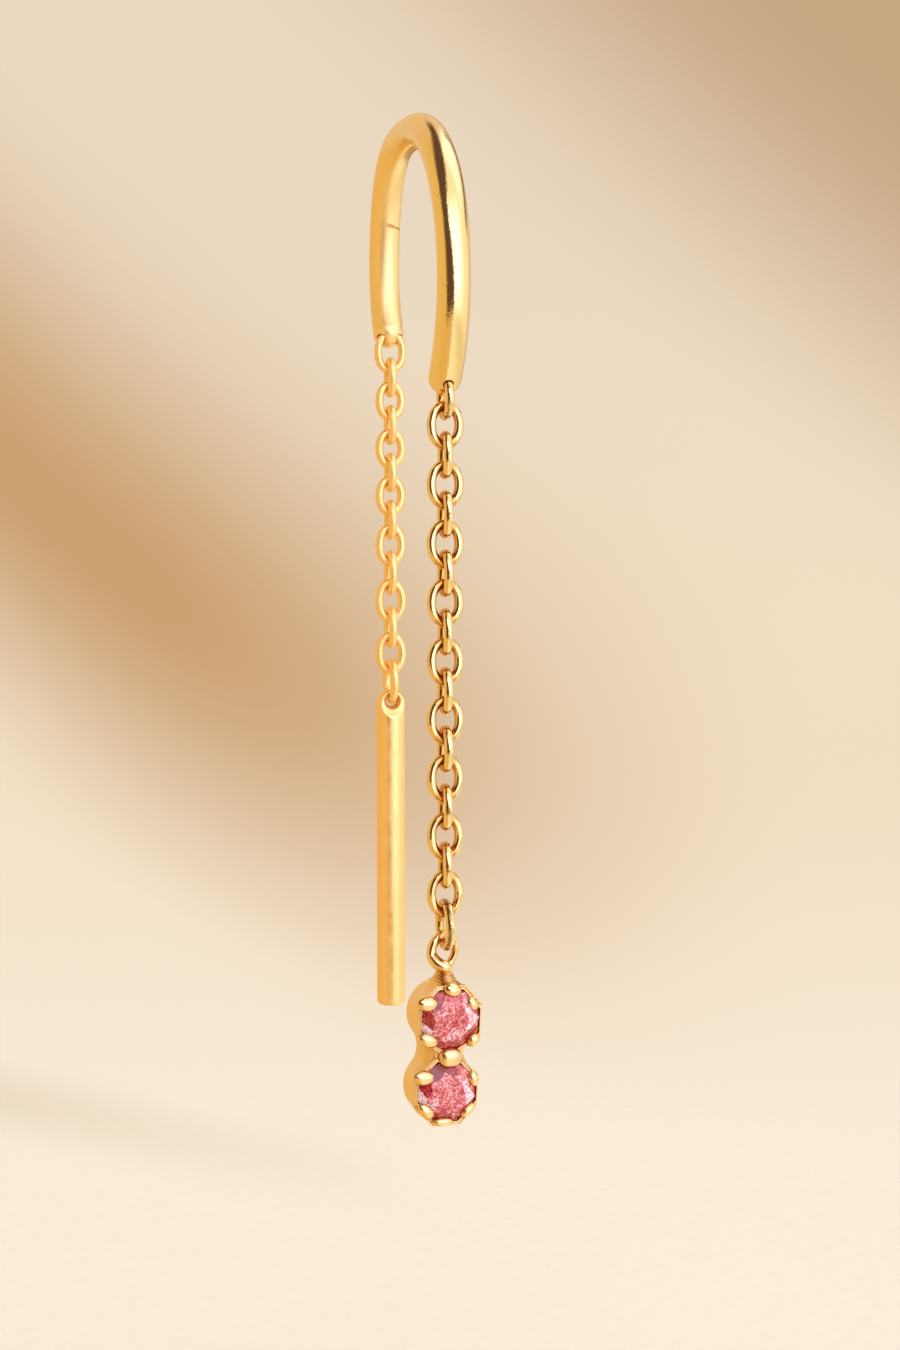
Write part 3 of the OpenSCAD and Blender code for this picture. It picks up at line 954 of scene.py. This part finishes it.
world = bpy.data.worlds.new("studio")
bpy.context.scene.world = world
world.use_nodes = True
tree = world.node_tree
tree.nodes.clear()
out = tree.nodes.new("ShaderNodeOutputWorld")
coord = tree.nodes.new("ShaderNodeTexCoord")
AZ = math.radians(-15.0)
to_cam = (math.sin(AZ), -math.cos(AZ), 0)
to_right = (math.cos(AZ), math.sin(AZ), 0)


def dot(vec):
    d = tree.nodes.new("ShaderNodeVectorMath")
    d.operation = "DOT_PRODUCT"
    d.inputs[1].default_value = vec
    tree.links.new(coord.outputs["Generated"], d.inputs[0])
    return d.outputs["Value"]


def smooth_step(value, a, b):
    m = tree.nodes.new("ShaderNodeMapRange")
    m.interpolation_type = "SMOOTHSTEP"
    m.inputs["From Min"].default_value = a
    m.inputs["From Max"].default_value = b
    tree.links.new(value, m.inputs["Value"])
    return m.outputs["Result"]


ahead, aside, up = dot(to_cam), dot(to_right), dot((0, 0, 1))
around = calc(tree, "MULTIPLY", calc(tree, "ARCTAN2", aside, ahead), 180 / PI)    # 0 at the camera, + to its right
rise = calc(tree, "MULTIPLY", calc(tree, "ARCSINE", calc(tree, "MINIMUM", calc(tree, "MAXIMUM", up, -1.0), 1.0)), 180 / PI)


def patch(a0, a1, e0, e1, soft=4.0, soft_e=None):
    """1 inside a part of the surroundings, from azimuth a0 to a1 and height e0 to e1, 0 outside."""
    soft_e = soft if soft_e is None else soft_e
    m = calc(tree, "MULTIPLY", smooth_step(around, a0 - soft / 2, a0 + soft / 2),
             calc(tree, "SUBTRACT", 1.0, smooth_step(around, a1 - soft / 2, a1 + soft / 2)))
    k = calc(tree, "MULTIPLY", smooth_step(rise, e0 - soft_e / 2, e0 + soft_e / 2),
             calc(tree, "SUBTRACT", 1.0, smooth_step(rise, e1 - soft_e / 2, e1 + soft_e / 2)))
    return calc(tree, "MULTIPLY", m, k)


def mix(fac, a, b):
    m = tree.nodes.new("ShaderNodeMix")
    m.data_type = "RGBA"
    m.blend_type = "MIX"
    m.clamp_factor = True
    for s, val in ((m.inputs[0], fac), (m.inputs[6], a), (m.inputs[7], b)):
        if isinstance(val, (int, float)):
            s.default_value = val
        elif isinstance(val, tuple):
            s.default_value = (*val, 1)
        else:
            tree.links.new(val, s)
    return m.outputs[2]


def either(a, b):
    return calc(tree, "MAXIMUM", a, b)


def inverse(a):
    return calc(tree, "SUBTRACT", 1.0, a)


# flat map of the sky, the zenith in the middle: to_right to the right, the camera at the top
flat_len = calc(tree, "MAXIMUM", calc(tree, "SQRT", calc(tree, "ADD", calc(tree, "MULTIPLY", ahead, ahead), calc(tree, "MULTIPLY", aside, aside))), 0.0001)
far = calc(tree, "DIVIDE", calc(tree, "SUBTRACT", 90.0, rise), flat_len)
mx = calc(tree, "MULTIPLY", aside, far)
my = calc(tree, "MULTIPLY", ahead, far)


def curve(value, points, lo, hi):
    """A smooth function through points (value, result)."""
    n = tree.nodes.new("ShaderNodeFloatCurve")
    c = n.mapping.curves[0]
    span = hi - lo
    a, b = points[0][0], points[-1][0]
    pts = [((v - a) / (b - a), (r - lo) / span) for v, r in points]
    c.points[0].location = pts[0]
    c.points[1].location = pts[-1]
    for q in pts[1:-1]:
        c.points.new(*q)
    n.mapping.update()
    tree.links.new(spread(tree, value, a, b, 0.0, 1.0), n.inputs["Value"])
    return calc(tree, "MULTIPLY_ADD", n.outputs["Value"], span, lo)


def less(a, b, soft):
    """1 where a is below b."""
    return inverse(smooth_step(calc(tree, "SUBTRACT", a, b), -soft / 2, soft / 2))


look = mix(smooth_step(rise, -75, -30), (0.92, 0.64, 0.30), (0.86, 0.575, 0.235))
look = mix(patch(-181, -122, -3, 91, 24, 8), look, (0.85, 0.61, 0.37))         # pale and satin behind on the left
look = mix(smooth_step(around, -17, -11), look, (1.02, 0.97, 0.86))          # pale half on the right
look = mix(calc(tree, "MULTIPLY", smooth_step(around, -17, -11), smooth_step(rise, -30, -75)), look, (0.92, 0.74, 0.46))
look = mix(smooth_step(around, 96, 150), look, (0.86, 0.67, 0.50))
look = mix(patch(160, 181, -60, 20, 12), look, (0.42, 0.19, 0.045))           # narrow brown directly behind
look = mix(patch(-181, -158, -60, -3, 12, 6), look, (0.42, 0.18, 0.045))
edge = curve(my, [(-60, 1), (-30, 1), (5, 1), (28, -8), (47, -20), (66, -9), (80, 3), (100, 15), (120, 24)], -20.0, 30.0)
shade_left = curve(my, [(-60, -12), (-36, -14), (-22, -18), (-10, -33), (2, -46), (35, -58), (55, -65), (72, -70), (120, -80)], -90.0, 0.0)
white = calc(tree, "MULTIPLY", less(edge, mx, 3.0), calc(tree, "MULTIPLY", smooth_step(rise, -22, -12), less(around, 109.0, 6.0)))
look = mix(white, look, (1.12, 1.07, 0.98))                                  # large soft light on the right
core = calc(tree, "MULTIPLY", calc(tree, "MULTIPLY", less(edge, mx, 3.0), less(around, 58.0, 44.0)),
            calc(tree, "MULTIPLY", smooth_step(rise, -25, 0), less(rise, 46.0, 26.0)))
look = mix(core, look, (2.42, 2.14, 2.62))                                      # and its brightest part
tip = calc(tree, "MULTIPLY", less(edge, mx, 3.0), calc(tree, "MULTIPLY", smooth_step(rise, 26, 40), patch(84, 160, -91, 91, 10)))
look = mix(tip, look, (1.5, 1.46, 1.65))                                      # its upper part, reaching behind
dark = calc(tree, "MULTIPLY", calc(tree, "MULTIPLY", less(mx, edge, 3.0), less(shade_left, mx, 5.0)),
            calc(tree, "MULTIPLY", smooth_step(my, -42, -36), smooth_step(rise, -22, -16)))
look = mix(dark, look, (0.135, 0.072, 0.055))                                # dark overhead and left of the camera
line1 = patch(112, 158, 16.0, 22.5, 3, 2)
line2 = patch(151, 158, 18, 44, 2)
look = mix(either(line1, line2), look, (0.14, 0.07, 0.03))                   # thin dark gap between the lights
lighting = tree.nodes.new("ShaderNodeBackground")
tree.links.new(look, lighting.inputs["Color"])

# what the camera sees behind the object: warm and pale, with soft slanting shade
FORWARD = (0.25818857, 0.96357288, -0.06975647)
UPWARD = (0.01805523, 0.06741985, 0.99756121)
depth = dot(FORWARD)
across = calc(tree, "DIVIDE", dot((0.96592583, -0.25881905, 0)), calc(tree, "MAXIMUM", depth, 0.05))
high = calc(tree, "DIVIDE", dot(UPWARD), calc(tree, "MAXIMUM", depth, 0.05))
back = mix(smooth_step(high, -0.28, -0.06), (0.965, 0.83, 0.675), (0.90, 0.755, 0.57))
back = mix(smooth_step(high, -0.06, 0.20), back, (0.825, 0.685, 0.525))
# slanting band from the left, fading to the right
bend = calc(tree, "MULTIPLY", across, calc(tree, "MULTIPLY_ADD", across, -1.4, 0.35))
line = calc(tree, "ADD", calc(tree, "ADD", high, bend), 0.070)
over = inverse(smooth_step(line, 0.0, 0.19))
under = inverse(smooth_step(calc(tree, "MULTIPLY", line, -1.0), 0.0, 0.165))
band = calc(tree, "MULTIPLY", calc(tree, "MULTIPLY", over, under),
            calc(tree, "MULTIPLY_ADD", smooth_step(across, -0.15, 0.18), -0.93, 1.0))
back = mix(band, back, (0.60, 0.355, 0.165))
# faint shadow low on the left
low = calc(tree, "ADD", calc(tree, "MULTIPLY_ADD", across, 0.237, high), 0.282)
low = calc(tree, "MULTIPLY", inverse(smooth_step(calc(tree, "ABSOLUTE", low), 0.0, 0.024)), inverse(smooth_step(across, -0.06, -0.01)))
back = mix(calc(tree, "MULTIPLY", low, 0.75), back, (0.80, 0.66, 0.50))
# shade in the upper right
corner = calc(tree, "MULTIPLY", smooth_step(calc(tree, "MULTIPLY_ADD", across, 0.85, high), 0.19, 0.42), 0.95)
back = mix(corner, back, (0.56, 0.37, 0.21))
seen = tree.nodes.new("ShaderNodeBackground")
tree.links.new(back, seen.inputs["Color"])
path = tree.nodes.new("ShaderNodeLightPath")
both = tree.nodes.new("ShaderNodeMixShader")
tree.links.new(path.outputs["Is Camera Ray"], both.inputs[0])
tree.links.new(lighting.outputs["Background"], both.inputs[1])
tree.links.new(seen.outputs["Background"], both.inputs[2])
tree.links.new(both.outputs["Shader"], out.inputs["Surface"])

# ------------------------------------------------------------------- camera

camera = bpy.data.objects.new("camera", bpy.data.cameras.new("camera"))
bpy.context.scene.collection.objects.link(camera)
back_dir = Vector((-0.25818857, -0.96357288, 0.06975647))
camera.location = Vector((-17.7365, -70.9454, -10.6693)) * MM
camera.rotation_mode = "QUATERNION"
camera.rotation_quaternion = (-back_dir).to_track_quat("-Z", "Y")
camera.data.lens = 57.333
camera.data.sensor_width = 36.0
camera.data.shift_y = -0.0553
camera.data.clip_start = 0.001
camera.data.clip_end = 10.0
camera.data.dof.use_dof = False
bpy.context.scene.camera = camera
bpy.context.scene.view_settings.view_transform = "Standard"
